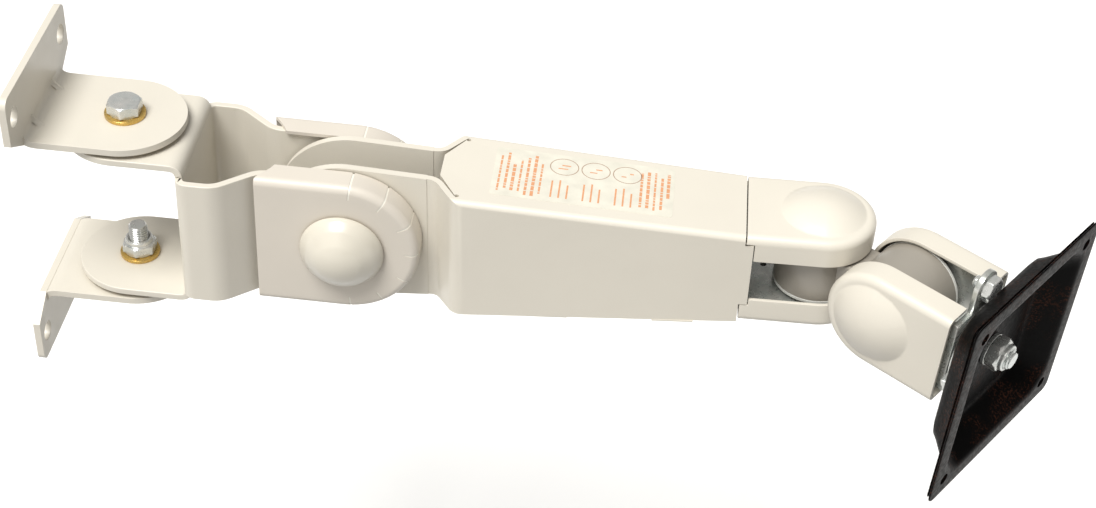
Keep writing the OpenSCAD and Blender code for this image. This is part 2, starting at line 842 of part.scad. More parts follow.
upper_wall_bracket();
lower_wall_bracket();
hinge_bolts();
hinge_washers();
hinge_lock_nuts();
yoke();
hinge_bushes();
front_joint_cover();
rear_joint_cover();
pivot_axle();
pivot_washer();
pivot_nut();
rear_dome_cap();
knob_retainer();
knob_spring();
release_knob();
index_pins();
arm_shell();
arm_bottom_cover();
pivot_bushes();
pivot_spacer();
elbow_upper_cap();
elbow_lower_cap();
elbow_bracket();
elbow_axle();
elbow_disc_springs();
elbow_nut();
elbow_friction_washers();
double_knuckle();
knuckle_bushes();
head_front_cap();
head_rear_cap();
head_bracket();
tilt_axle();
tilt_disc_springs();
tilt_nut();
tilt_friction_washers();
stop_screw();
swivel_bolt();
swivel_friction_washer();
swivel_washer();
swivel_lock_nut();
stop_disc();
plate_spacer();
monitor_plate();
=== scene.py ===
import json
import math

import bmesh
import bpy
from mathutils import Matrix, Vector

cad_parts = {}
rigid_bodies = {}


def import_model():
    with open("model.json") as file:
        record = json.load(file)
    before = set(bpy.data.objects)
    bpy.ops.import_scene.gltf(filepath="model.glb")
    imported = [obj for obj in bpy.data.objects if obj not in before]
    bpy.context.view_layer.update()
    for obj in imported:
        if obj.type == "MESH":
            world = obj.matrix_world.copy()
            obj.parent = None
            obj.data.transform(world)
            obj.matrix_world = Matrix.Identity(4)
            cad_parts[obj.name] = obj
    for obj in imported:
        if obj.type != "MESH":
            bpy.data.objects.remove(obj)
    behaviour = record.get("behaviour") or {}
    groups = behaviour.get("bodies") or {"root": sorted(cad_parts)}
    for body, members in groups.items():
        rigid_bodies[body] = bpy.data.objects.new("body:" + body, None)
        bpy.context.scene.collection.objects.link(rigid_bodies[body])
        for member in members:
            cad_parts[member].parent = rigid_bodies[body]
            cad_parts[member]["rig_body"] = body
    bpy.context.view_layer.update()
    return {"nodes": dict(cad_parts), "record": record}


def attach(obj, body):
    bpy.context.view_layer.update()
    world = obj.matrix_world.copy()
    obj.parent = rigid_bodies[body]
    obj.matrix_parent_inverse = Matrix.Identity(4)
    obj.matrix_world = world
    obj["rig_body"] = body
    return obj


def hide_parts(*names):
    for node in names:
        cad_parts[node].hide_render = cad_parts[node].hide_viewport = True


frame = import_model()
nodes = frame["nodes"]

# ---------------------------------------------------------------- frames, in millimetres

MM = 0.001
PIVOT_X = 129.6
ARM_PITCH = 1.5
ARM_LEN = 194.0
ELBOW_TURN = -35.8
KNUCKLE_LEN = 40.3
HEAD_TILT = 2.5


def shift(x, y=0.0, z=0.0):
    return Matrix.Translation((x, y, z))


def turn(axis, degrees):
    return Matrix.Rotation(math.radians(degrees), 4, axis)


def mirror(axis):
    scale = {"X": (-1, 1, 1), "Y": (1, -1, 1), "Z": (1, 1, -1)}[axis]
    return Matrix.Diagonal((*scale, 1))


ROOT = Matrix.Identity(4)
PIVOT = shift(PIVOT_X)
ARM = PIVOT @ turn("Y", -ARM_PITCH)
ELBOW = ARM @ shift(ARM_LEN)
KNUCKLE = ELBOW @ turn("Z", ELBOW_TURN)
HEAD = KNUCKLE @ shift(KNUCKLE_LEN) @ turn("Y", HEAD_TILT)

# the arm box, in the frame ARM
BEND_OUT = 46.2  # where its walls bend out
BOX_END = 162.7
ROOF_START, ROOF_END = 32.5, 22.0
CREASE = 3.0  # radius of the roof's long edges


def arm_top(x):
    """Height of the arm's roof above its middle line."""
    return ROOF_START + (ROOF_END - ROOF_START) * x / BOX_END


# ---------------------------------------------------------------- materials


class Nodes:
    """A small helper that builds one node material."""

    def __init__(self, name):
        self.material = bpy.data.materials.new(name)
        self.material.use_nodes = True
        self.tree = self.material.node_tree
        self.shader = self.tree.nodes["Principled BSDF"]
        self.place = self.add("ShaderNodeTexCoord").outputs["Object"]

    def add(self, kind, **values):
        node = self.tree.nodes.new(kind)
        for key, value in values.items():
            setattr(node, key, value)
        return node

    def link(self, a, b):
        self.tree.links.new(a, b)

    def noise(self, size_mm, detail=3.0, roughness=0.5, stretch=(1, 1, 1)):
        """Noise with features of about that size."""
        scale = self.add("ShaderNodeMapping")
        scale.inputs["Scale"].default_value = [s / (size_mm * MM) for s in stretch]
        self.link(self.place, scale.inputs["Vector"])
        node = self.add("ShaderNodeTexNoise")
        node.inputs["Scale"].default_value = 1.0
        node.inputs["Detail"].default_value = detail
        node.inputs["Roughness"].default_value = roughness
        self.link(scale.outputs["Vector"], node.inputs["Vector"])
        return node.outputs["Fac"]

    def ramp(self, source, stops):
        node = self.add("ShaderNodeValToRGB")
        ramp = node.color_ramp
        while len(ramp.elements) < len(stops):
            ramp.elements.new(0.5)
        for element, (at, colour) in zip(ramp.elements, stops):
            element.position = at
            element.color = (*colour, 1.0)
        self.link(source, node.inputs["Fac"])
        return node.outputs["Color"]

    def spread(self, source, low, high, start=0.3, end=0.7):
        """Source remapped from start..end to low..high."""
        node = self.add("ShaderNodeMapRange")
        limits = {"From Min": start, "From Max": end, "To Min": low, "To Max": high}
        for key, value in limits.items():
            node.inputs[key].default_value = value
        self.link(source, node.inputs["Value"])
        return node.outputs["Result"]

    def mix(self, factor, a, b):
        """Colour a going over to colour b; sockets 0, 6 and 7 are the factor, a and b."""
        node = self.add("ShaderNodeMix", data_type="RGBA")
        for key, value in ((0, factor), (6, a), (7, b)):
            if isinstance(value, bpy.types.NodeSocket):
                self.link(value, node.inputs[key])
            elif key:
                node.inputs[key].default_value = (*value, 1.0)
            else:
                node.inputs[key].default_value = value
        return node.outputs[2]

    def bump(self, source, strength, depth_mm):
        node = self.add("ShaderNodeBump")
        node.inputs["Strength"].default_value = strength
        node.inputs["Distance"].default_value = depth_mm * MM
        self.link(source, node.inputs["Height"])
        if self.shader.inputs["Normal"].is_linked:
            self.link(self.shader.inputs["Normal"].links[0].from_socket, node.inputs["Normal"])
        self.link(node.outputs["Normal"], self.shader.inputs["Normal"])

    def set(self, **values):
        for key, value in values.items():
            self.shader.inputs[key.replace("_", " ")].default_value = value


def shade(colour, factor):
    return tuple(c * factor for c in colour)


# tint of the painted shade in corners and creases
CORNER_SHADE_TINT = (0.62, 0.56, 0.46)


def powder_coat(name, colour, gloss=0.42):
    """Baked powder coat: fine orange peel, faint clouding, and painted shade that darkens the
    corners.
    """
    n = Nodes(name)
    clouds = n.ramp(n.noise(38, 4), [(0.32, shade(colour, 0.965)), (0.68, colour)])
    specks = n.spread(n.noise(0.5, 2), 0.0, 0.10, 0.60, 0.78)
    tone = n.mix(specks, clouds, shade(colour, 0.72))
    # painted shade: ambient occlusion darkens the colour towards a warm tint in corners and
    # creases
    corner = n.add("ShaderNodeAmbientOcclusion", samples=6)
    corner.inputs["Distance"].default_value = 3.5 * MM
    corner_shade = n.spread(corner.outputs["AO"], 0.38, 0.0, 0.25, 0.85)
    tone = n.mix(corner_shade, tone, tuple(c * g for c, g in zip(colour, CORNER_SHADE_TINT)))
    n.link(tone, n.shader.inputs["Base Color"])
    n.link(n.spread(n.noise(9, 3), gloss - 0.05, gloss + 0.07), n.shader.inputs["Roughness"])
    n.bump(n.noise(1.1, 2, 0.45), 0.22, 0.05)
    n.bump(n.noise(0.35, 1), 0.10, 0.02)
    n.set(Coat_Weight=0.18, Coat_Roughness=0.22)
    return n.material


def moulded(name, colour):
    """Glossy moulded cap with a very fine grain."""
    n = Nodes(name)
    clouds = n.ramp(n.noise(25, 3), [(0.3, shade(colour, 0.96)), (0.7, colour)])
    n.link(clouds, n.shader.inputs["Base Color"])
    n.link(n.spread(n.noise(4, 3), 0.29, 0.32), n.shader.inputs["Roughness"])
    n.bump(n.noise(0.6, 2), 0.08, 0.01)
    n.set(Coat_Weight=0.30, Coat_Roughness=0.15)
    return n.material


def plated(name, colour, tints, gloss=0.2, grain=(1, 1, 1)):
    """Zinc plate: cloudy tints, rolling marks and small scratches."""
    n = Nodes(name)
    tone = n.ramp(n.noise(7, 4, 0.6), [(0.30, tints[0]), (0.50, colour), (0.72, tints[1])])
    stains = n.spread(n.noise(2.2, 3), 0.0, 0.35, 0.55, 0.75)
    tone = n.mix(stains, tone, shade(colour, 0.62))
    n.link(tone, n.shader.inputs["Base Color"])
    n.link(n.spread(n.noise(3, 4, 0.6), gloss - 0.06, gloss + 0.14), n.shader.inputs["Roughness"])
    n.bump(n.noise(1.0, 3, 0.6, grain), 0.25, 0.02)
    n.bump(n.noise(4.5, 2), 0.30, 0.10)
    n.set(Metallic=0.62)
    return n.material


def black_enamel(name):
    """Thick black enamel with a hammered texture and a warm cast where it is thin."""
    n = Nodes(name)
    patches = n.spread(n.noise(15, 3, 0.55), 0.0, 1.0, 0.46, 0.62)
    flecks = n.spread(n.noise(0.9, 3, 0.6), 0.0, 1.0, 0.50, 0.66)
    rusty = n.mix(flecks, (0.0016, 0.0012, 0.0012), (0.050, 0.018, 0.010))
    tone = n.mix(patches, (0.0014, 0.0012, 0.0012), rusty)
    n.link(tone, n.shader.inputs["Base Color"])
    n.link(n.spread(n.noise(1.6, 3), 0.30, 0.50), n.shader.inputs["Roughness"])
    n.bump(n.noise(1.5, 3, 0.55), 0.45, 0.12)
    n.set(Specular_IOR_Level=0.04)
    return n.material


def plain_plastic(name, colour, roughness=0.5):
    """Matt plastic or paper, faintly cloudy."""
    n = Nodes(name)
    tone = n.ramp(n.noise(6, 3), [(0.3, shade(colour, 0.88)), (0.7, colour)])
    n.link(tone, n.shader.inputs["Base Color"])
    gloss = n.spread(n.noise(1.5, 3), roughness - 0.07, roughness + 0.07)
    n.link(gloss, n.shader.inputs["Roughness"])
    n.bump(n.noise(0.6, 2), 0.2, 0.02)
    return n.material


def printed(name, colour):
    """Ink, a little paler in spots."""
    n = Nodes(name)
    tone = n.ramp(n.noise(0.8, 3, 0.6), [(0.35, colour), (0.75, shade(colour, 1.25))])
    n.link(tone, n.shader.inputs["Base Color"])
    n.link(n.spread(n.noise(1.2, 2), 0.45, 0.6), n.shader.inputs["Roughness"])
    return n.material


ivory = powder_coat("ivory_powder_coat", (0.700, 0.660, 0.575))
cover = powder_coat("cover_powder_coat", (0.665, 0.615, 0.540), 0.46)
grey = powder_coat("grey_powder_coat", (0.315, 0.290, 0.250), 0.40)
# painted highlight: a paler coat for the slit floors, standing in for slit edges that catch the
# light
slit_highlight = powder_coat("slit_highlight_coat", (0.82, 0.80, 0.72), 0.46)
knob_skin = moulded("ivory_moulding", (0.66, 0.62, 0.53))
zinc = plated("bright_zinc", (0.62, 0.63, 0.61), [(0.70, 0.69, 0.66), (0.54, 0.58, 0.57)])
sheet_zinc = plated("sheet_zinc", (0.50, 0.51, 0.48), [(0.58, 0.57, 0.54), (0.42, 0.46, 0.43)],
                    0.26, (1, 0.15, 1))
gold = plated("yellow_zinc", (0.62, 0.40, 0.10), [(0.72, 0.50, 0.16), (0.50, 0.36, 0.14)], 0.24)
enamel = black_enamel("black_enamel")
nylon = plain_plastic("white_nylon", (0.72, 0.72, 0.68))
dark_nylon = plain_plastic("dark_nylon", (0.05, 0.05, 0.05), 0.45)
bronze = plated("sintered_bronze", (0.45, 0.27, 0.11), [(0.52, 0.33, 0.15), (0.38, 0.24, 0.10)],
                0.4)
paper = plain_plastic("label_paper", (0.725, 0.700, 0.605), 0.55)
orange_ink = printed("orange_ink", (0.60, 0.29, 0.15))
brown_ink = printed("brown_ink", (0.36, 0.25, 0.18))
SLOT_LOOK = {
    "ivory_paint": ivory, "cover_paint": cover, "knob_plastic": knob_skin, "zinc_plate": zinc,
    "yellow_zinc": gold, "grey_paint": grey, "black_paint": enamel, "nylon": nylon,
    "dark_nylon": dark_nylon, "bronze": bronze,
}

# ---------------------------------------------------------------- mesh helpers


def finish_piece(name, bm, place, body, material, replaced=(), sharp=38.0):
    """Turns a mesh in millimetres in a local frame into a piece that rides on a body."""
    bmesh.ops.recalc_face_normals(bm, faces=bm.faces)
    mesh = bpy.data.meshes.new(name)
    bm.to_mesh(mesh)
    bm.free()
    mesh.transform(Matrix.Scale(MM, 4) @ place)
    if place.determinant() < 0:
        mesh.flip_normals()
    mesh.shade_smooth()
    mesh.set_sharp_from_angle(angle=math.radians(sharp))
    mesh.materials.append(material)
    piece = bpy.data.objects.new(name, mesh)
    bpy.context.scene.collection.objects.link(piece)
    even = piece.modifiers.new("even_normals", "WEIGHTED_NORMAL")
    even.keep_sharp = True
    even.weight = 60
    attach(piece, body)
    if replaced:
        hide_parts(*replaced)


def body_of_node(node):
    return nodes[node]["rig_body"]


def slot_of_node(node):
    parts = frame["record"]["subparts"]
    return next(part["material_slot"] for part in parts if part["node"] == node)


def cad_mesh(node, place):
    """A CAD node's mesh in millimetres in the frame of place, with its flat faces joined."""
    bm = bmesh.new()
    bm.from_mesh(nodes[node].data)
    bm.transform(place.inverted() @ Matrix.Scale(1 / MM, 4))
    bmesh.ops.remove_doubles(bm, verts=bm.verts, dist=0.002)
    bmesh.ops.dissolve_limit(
        bm, angle_limit=math.radians(0.7), verts=bm.verts[:], edges=bm.edges[:],
        use_dissolve_boundaries=False)
    return bm


SHARP_EDGE = 28.0


def round_edges(bm, width, segments, where):
    """Rounds the edges that turn more than SHARP_EDGE degrees and that where() picks."""
    limit = math.radians(SHARP_EDGE)
    picked = [e for e in bm.edges if len(e.link_faces) == 2 and e.calc_face_angle(0) > limit
              and where((e.verts[0].co + e.verts[1].co) / 2, e)]
    if picked:
        bmesh.ops.bevel(bm, geom=picked, offset=width, offset_type="OFFSET", segments=segments,
                        profile=0.5, affect="EDGES", clamp_overlap=True, loop_slide=True)


def soft_copy(node, place, rounds, material=None):
    """A piece that stands for a CAD node, with its sharp edges rounded."""
    bm = cad_mesh(node, place)
    for step in rounds:
        round_edges(bm, *step)
    slot = slot_of_node(node)
    finish_piece(node + "_skin", bm, place, body_of_node(node),
                 material or SLOT_LOOK[slot], (node,))


def grid_faces(bm, rings, closed_ring=True, skip=None):
    """Quads between rings of vertices; skip(ring, column) leaves one out."""
    for i in range(len(rings) - 1):
        a, b = rings[i], rings[i + 1]
        count = len(a) if closed_ring else len(a) - 1
        for j in range(count):
            k = (j + 1) % len(a)
            if skip and skip(i, j):
                continue
            bm.faces.new((a[j], a[k], b[k], b[j]))


def lathe(bm, profile, steps=64, centre=(0, 0, 0), radius_at=None):
    """Turns a profile of (radius, z) about z; a zero radius closes it with a point."""
    cx, cy, cz = centre
    rings = []
    for r, z in profile:
        if r < 1e-6:
            rings.append([bm.verts.new((cx, cy, cz + z))])
            continue
        ring = []
        for j in range(steps):
            a = 2 * math.pi * j / steps
            rr = radius_at(a, r, z) if radius_at else r
            ring.append(bm.verts.new((cx + rr * math.cos(a), cy + rr * math.sin(a), cz + z)))
        rings.append(ring)
    for a, b in zip(rings, rings[1:]):
        for j in range(steps):
            k = (j + 1) % steps
            if len(a) == 1:
                bm.faces.new((a[0], b[j], b[k]))
            elif len(b) == 1:
                bm.faces.new((a[j], a[k], b[0]))
            else:
                bm.faces.new((a[j], a[k], b[k], b[j]))
    return rings


def arc(cx, cz, r, start, end, count):
    """Points of an arc in a profile, angles in degrees."""
    return [(cx + r * math.cos(math.radians(start + (end - start) * i / count)),
             cz + r * math.sin(math.radians(start + (end - start) * i / count)))
            for i in range(count + 1)]


def washer(bm, inner, outer, z0, z1, soft=0.25):
    """A flat ring with rounded corners, closed."""
    profile = (arc(outer - soft, z0 + soft, soft, -90, 0, 3)
               + arc(outer - soft, z1 - soft, soft, 0, 90, 3)
               + arc(inner + soft, z1 - soft, soft, 90, 180, 3)
               + arc(inner + soft, z0 + soft, soft, 180, 270, 3))
    rings = lathe(bm, profile, 72)
    grid_faces(bm, [rings[-1], rings[0]])


CORNER = 1.142  # a hexagon's broken corner over half its width; a sharp one has 1.155
HEX_STEPS = 96


def hex_radius(across):
    """Radius of a hexagon with slightly broken corners at an angle."""
    def radius(a, r, _z):
        fold = (math.degrees(a) + 30.0) % 60.0 - 30.0
        side = across / 2 / math.cos(math.radians(fold))
        return min(r, side, across / 2 * CORNER)
    return radius


def hex_head(bm, across, height, z=0.0, dish=True):
    """Hexagon head standing on z, chamfered on top, its top flat or slightly dished."""
    big = across * 0.62
    end = z + height
    low = [(0, z), (across * 0.45, z), (across * 0.5, z + 0.04), (big, z + 0.5)]
    top = [(big, end - 1.0), (across * 0.555, end - 0.75), (across * 0.515, end - 0.32),
           (across * 0.478, end - 0.05), (across * 0.455, end)]
    if dish:
        top += [(across * 0.40, end - 0.12), (across * 0.2, end - 0.2), (0, end - 0.22)]
    else:
        top += [(across * 0.3, end), (0, end)]
    lathe(bm, low + top, HEX_STEPS, radius_at=hex_radius(across))


def lock_nut(bm, across=13.0, height=5.0, bore=4.0, collar=2.2, collar_r=5.7):
    """M8 lock nut standing on z = 0: a hexagon with a round collar above it."""
    big = across * 0.62
    end = height + collar
    profile = [(bore, 0), (across * 0.47, 0), (across * 0.505, 0.25), (big, 0.8),
               (big, height - 1.0), (across * 0.545, height - 0.6), (across * 0.50, height - 0.1),
               (collar_r + 0.35, height), (collar_r, height + 0.35), (collar_r, end - 0.7)]
    profile += arc(collar_r - 0.7, end - 0.7, 0.7, 20, 90, 4)
    profile += [(bore + 0.8, end), (bore + 0.4, end - 0.5), (bore, end - 1.0)]
    rings = lathe(bm, profile, HEX_STEPS, radius_at=hex_radius(across))
    grid_faces(bm, [rings[-1], rings[0]])


def thread(bm, radius, z0, z1, pitch=1.25):
    """A closed rod with a helical thread and a chamfered tip at z1."""
    steps, per_pitch = 40, 6
    tip = 0.8
    count = max(2, int(abs(z1 - z0) / pitch * per_pitch))
    up = 1 if z1 > z0 else -1
    rings = []
    for i in range(count + 1):
        z = z0 + (z1 - z0) * i / count
        left = abs(z1 - z)
        ring = []
        for j in range(steps):
            a = 2 * math.pi * j / steps
            phase = (abs(z - z0) / pitch - up * j / steps) % 1.0
            depth = 0.61 * pitch * (0.5 + 0.5 * math.cos(2 * math.pi * phase)) * 0.85
            r = radius - depth
            if left < tip:
                r = min(r, radius - 0.72 + 0.55 * left / tip)
            ring.append(bm.verts.new((r * math.cos(a), r * math.sin(a), z)))
        rings.append(ring)
    grid_faces(bm, rings)
    for ring, z in ((rings[0], z0), (rings[-1], z1)):
        inner = [bm.verts.new((v.co.x * 0.55, v.co.y * 0.55, z)) for v in ring]
        grid_faces(bm, [ring, inner])
        bm.faces.new(inner)


def solid_shell(bm, thickness, edge_round=0.0):
    """Gives a surface thickness on the side its normals point away from, through Solidify."""
    mesh = bpy.data.meshes.new("sheet")
    bmesh.ops.recalc_face_normals(bm, faces=bm.faces)
    bm.to_mesh(mesh)
    bm.free()
    holder = bpy.data.objects.new("sheet_work", mesh)
    bpy.context.scene.collection.objects.link(holder)
    skin = holder.modifiers.new("skin", "SOLIDIFY")
    skin.thickness = thickness
    skin.offset = -1.0
    skin.use_even_offset = True
    skin.use_quality_normals = True
    if edge_round:
        soft = holder.modifiers.new("soft", "BEVEL")
        soft.width = edge_round
        soft.segments = 2
        soft.limit_method = "ANGLE"
        soft.angle_limit = math.radians(50)
        soft.use_clamp_overlap = True
    graph = bpy.context.evaluated_depsgraph_get()
    out = bmesh.new()
    out.from_mesh(bpy.data.meshes.new_from_object(holder.evaluated_get(graph), depsgraph=graph))
    bpy.data.objects.remove(holder)
    bpy.data.meshes.remove(mesh)
    return out


def combined(bm, tool, operation):
    """The result of a boolean of two closed meshes."""
    pair = []
    for source in (bm, tool):
        bmesh.ops.recalc_face_normals(source, faces=source.faces)
        mesh = bpy.data.meshes.new("work")
        source.to_mesh(mesh)
        source.free()
        pair.append(bpy.data.objects.new("work", mesh))
        bpy.context.scene.collection.objects.link(pair[-1])
    cut = pair[0].modifiers.new("cut", "BOOLEAN")
    cut.operation = operation
    cut.solver = "EXACT"
    cut.object = pair[1]
    graph = bpy.context.evaluated_depsgraph_get()
    out = bmesh.new()
    out.from_mesh(bpy.data.meshes.new_from_object(pair[0].evaluated_get(graph), depsgraph=graph))
    for work in pair:
        bpy.data.objects.remove(work)
    return out


# ---------------------------------------------------------------- pressed D-shaped caps

CAP_R = 21.5
CAP_HALF = 22.0  # from the middle plane to the outer face
CAP_DEPTH = 12.0
CAP_ROUND = 3.2
CAP_THICK = 1.6
BULGE_R, BULGE_H = 17.1, 5.2
BULGE_BALL = (BULGE_R * BULGE_R + BULGE_H * BULGE_H) / (2 * BULGE_H)
FILLET = 0.6  # half width of the fillet around the bulge


def bulge_height(r):
    """Height of the bulge: a ball's cap, led out into the flat face by a short fillet."""
    if r >= BULGE_R + FILLET:
        return 0.0
    raw = math.sqrt(BULGE_BALL * BULGE_BALL - min(r, BULGE_R) ** 2) - (BULGE_BALL - BULGE_H)
    if r > BULGE_R - FILLET:
        t = (BULGE_R + FILLET - r) / (2 * FILLET)
        inner = (math.sqrt(BULGE_BALL * BULGE_BALL - (BULGE_R - FILLET) ** 2)
                 - (BULGE_BALL - BULGE_H))
        return 0.5 * (inner * t * t * (3 - 2 * t) + raw * t)
    return raw


def d_cap(back, side_x, skip=None, levels=()):
    """Pressed cap: face outside at z = 0, rim going down to -CAP_DEPTH, open at x = -back.
    The straight sides have points at each -x of side_x, which ends with back. The rim has extra
    points at levels, and skip(x, y, z) leaves a quad out."""
    arc_steps, end_steps, round_steps = 40, 8, 6
    angles = [math.radians(-90 + 180 * i / arc_steps) for i in range(arc_steps + 1)]

    def outline(r, z):
        points = [(r * math.cos(a), r * math.sin(a), z) for a in angles]
        points += [(-x, r, z) for x in side_x]
        points += [(-back, r * (1 - 2 * i / end_steps), z) for i in range(1, end_steps)]
        points += [(-x, -r, z) for x in reversed(side_x)]
        return points

    rows = [outline(CAP_R, z) for z in sorted({-CAP_DEPTH, -CAP_DEPTH / 2, -CAP_ROUND, *levels})]
    for i in range(1, round_steps + 1):
        a = math.radians(90 * i / round_steps)
        rows.append(outline(CAP_R - CAP_ROUND * (1 - math.cos(a)), -CAP_ROUND * (1 - math.sin(a))))
    rim_rows = len(rows)
    edge = rows[-1]
    ring_r = [BULGE_R + FILLET, BULGE_R + FILLET * 0.4, BULGE_R - FILLET * 0.2, BULGE_R - FILLET]
    ring_r += [BULGE_R * t for t in (0.83, 0.70, 0.56, 0.42, 0.28, 0.14)]
    for r in ring_r:
        row = []
        for x, y, _z in edge:
            far = math.hypot(x, y)
            scale = min(1.0, r / far)
            row.append((x * scale, y * scale, bulge_height(min(r, far))))
        rows.append(row)
    first_end = arc_steps + len(side_x)
    last_end = first_end + end_steps - 1

    def leave(i, j):
        if i < rim_rows - 1 and first_end <= j <= last_end:
            return True
        if skip is None:
            return False
        a, b = rows[i][j], rows[i + 1][(j + 1) % len(rows[i])]
        return skip((a[0] + b[0]) / 2, (a[1] + b[1]) / 2, (a[2] + b[2]) / 2)

    bm = bmesh.new()
    rings = [[bm.verts.new(p) for p in row] for row in rows]
    grid_faces(bm, rings, True, leave)
    peak = bm.verts.new((0, 0, BULGE_H))
    last = rings[-1]
    for j in range(len(last)):
        bm.faces.new((last[j], last[(j + 1) % len(last)], peak))
    bmesh.ops.remove_doubles(bm, verts=bm.verts, dist=0.01)
    bmesh.ops.delete(bm, geom=[v for v in bm.verts if not v.link_faces], context="VERTS")
    return solid_shell(bm, CAP_THICK, 0.35)


ELBOW_BACK = 30.8
NOTCH_X = ELBOW_BACK - 3.4
HEAD_REACH = 32.3

for name, flip, notch_z in (("elbow_upper_cap", ROOT, -3.7),
                            ("elbow_lower_cap", mirror("Z"), -9.1)):
    cap = d_cap(ELBOW_BACK, (8, 16, 24, NOTCH_X, 29, ELBOW_BACK),
                lambda x, _y, z: x < -NOTCH_X and z < notch_z, (notch_z,))
    finish_piece(name + "_skin", cap, ELBOW @ flip @ shift(0, 0, CAP_HALF), "arm", ivory,
                 (name,))

for name, flip in (("head_front_cap", ROOT), ("head_rear_cap", mirror("Y"))):
    cap = d_cap(HEAD_REACH, (8, 16, 24, HEAD_REACH - 2, HEAD_REACH))
    place = HEAD @ flip @ turn("X", 90) @ shift(0, 0, CAP_HALF) @ mirror("X")
    finish_piece(name + "_skin", cap, place, "head", ivory, (name,))

# ---------------------------------------------------------------- joint covers on the yoke

COVER_R = 31.4
COVER_Y = 23.0
COVER_BACK = 11.7
COVER_LEFT = 94.2
COVER_ROUND = 3.2
COVER_THICK = 1.5
SLITS = (-84, -56, -28, 0, 28, 56, 84)  # degrees round the rim
SLIT_HALF = 0.42


def cover_mesh():
    """Pressed cover with slits that divide its rim."""
    end_steps, round_steps = 8, 6
    half = SLIT_HALF / COVER_R
    fine = [math.radians(s) + side * half for s in SLITS for side in (-1, 1)]
    angles = sorted(fine + [math.radians(a) for a in range(-90, 91, 4)
                            if min(abs(a - s) for s in SLITS) > 1.2])
    reach = PIVOT_X - COVER_LEFT
    depth = COVER_Y - COVER_BACK

    def left_at(z):
        """Left end of the rim, cut back along the bend of the yoke."""
        return reach - 6.4 * min(1.0, max(0.0, (-z - 1.5) / (depth - 2.5)))

    sides = (0.25, 0.5, 0.75, 1.0)

    def outline(r, z):
        end = left_at(z)
        points = [(r * math.cos(a), r * math.sin(a), z) for a in angles]
        points += [(-end * t, r, z) for t in sides]
        points += [(-end, r * (1 - 2 * i / end_steps), z) for i in range(1, end_steps)]
        points += [(-end * t, -r, z) for t in reversed(sides)]
        return points

    rows = [outline(COVER_R, z) for z in (-depth, -depth * 0.75, -COVER_ROUND)]
    for i in range(1, round_steps + 1):
        a = math.radians(90 * i / round_steps)
        rows.append(outline(COVER_R - COVER_ROUND * (1 - math.cos(a)),
                            -COVER_ROUND * (1 - math.sin(a))))
    rim_rows = len(rows)
    flat_r = COVER_R - COVER_ROUND
    rows += [outline(r, 0.0) for r in (flat_r - 2.6, flat_r - 6, 17.0, 12.0)]
    bm = bmesh.new()
    rings = [[bm.verts.new(p) for p in row] for row in rows]
    first_end = len(angles) + len(sides) - 1
    slit_columns = [j for j in range(len(angles) - 1)
                    if abs((angles[j + 1] - angles[j]) * COVER_R - 2 * SLIT_HALF) < 0.02]

    def leave(i, j):
        if i < rim_rows - 1 and first_end <= j < first_end + end_steps:
            return True
        return j in slit_columns and i < rim_rows

    grid_faces(bm, rings, True, leave)
    bm.faces.new(rings[-1])
    bmesh.ops.delete(bm, geom=[v for v in bm.verts if not v.link_faces], context="VERTS")
    return solid_shell(bm, COVER_THICK, 0.3)


def slit_floors():
    """Bottoms of the slits: narrow strips set just below the surface of the rim, in a paler coat
    as a painted highlight of the slit edges.
    """
    bm = bmesh.new()
    under, half = 0.16, 0.7
    spread = half / COVER_R
    flat_r = COVER_R - COVER_ROUND
    profile = [(COVER_R - under, z) for z in (-COVER_Y + COVER_BACK + 0.6, -COVER_ROUND)]
    profile += arc(flat_r, -COVER_ROUND, COVER_ROUND - under, 15, 90, 5)
    profile += [(flat_r - 3.0, -under)]
    for s in SLITS:
        rays = [math.radians(s) + side * spread for side in (-1, 0, 1)]
        grid_faces(bm, [[bm.verts.new((r * math.cos(a), r * math.sin(a), z)) for a in rays]
                        for r, z in profile], False)
    return solid_shell(bm, 0.4)


for name, flip in (("front_joint_cover", ROOT), ("rear_joint_cover", mirror("Y"))):
    place = PIVOT @ flip @ turn("X", 90) @ shift(0, 0, COVER_Y)
    finish_piece(name + "_skin", cover_mesh(), place, "swing_yoke", cover, (name,))
    # the slit floors carry the painted highlight coat
    finish_piece(name + "_slits", slit_floors(), place, "swing_yoke", slit_highlight)

# ---------------------------------------------------------------- knob and rear dome


DOME_R = 17.3
DOME_LIP = 1.5


def dome_profile(height):
    """Low dome over a rounded lip, from the rim inwards."""
    ball = (DOME_R * DOME_R + height * height) / (2 * height)
    points = [(DOME_R - 2.2, 0.0), (DOME_R - 0.5, 0.0)] + arc(DOME_R - 0.5, 0.5, 0.5, -60, 0, 3)
    points += [(DOME_R, DOME_LIP)]
    for i in range(1, 14):
        t = 1 - i / 14
        r = math.sqrt(DOME_R * DOME_R * t) if i < 6 else DOME_R * t
        points.append((r, DOME_LIP + math.sqrt(ball * ball - r * r) - (ball - height)))
    return points + [(0, DOME_LIP + height)]


# both are hollow, to leave room for the axle's end and the spring
for name, body, side, at, hollow, height in (
        ("release_knob", "knob", 90, 23.6,
         [(0, 9.6), (7.6, 9.6), (7.6, 2.0), (3.2, 2.0), (3.2, 0.0)], 10.5),
        ("rear_dome_cap", "swing_yoke", -90, 23.0, [(0, 3.2), (12.0, 3.2), (12.0, 0.0)], 7.5)):
    bm = bmesh.new()
    lathe(bm, hollow + dome_profile(height), 96)
    finish_piece(name + "_skin", bm, PIVOT @ turn("X", side) @ shift(0, 0, at), body, knob_skin,
                 (name,))

# ---------------------------------------------------------------- bent sheet parts


def outside(_mid, edge):
    """Convex edges only."""
    return edge.is_convex


DART_Y = 13.0


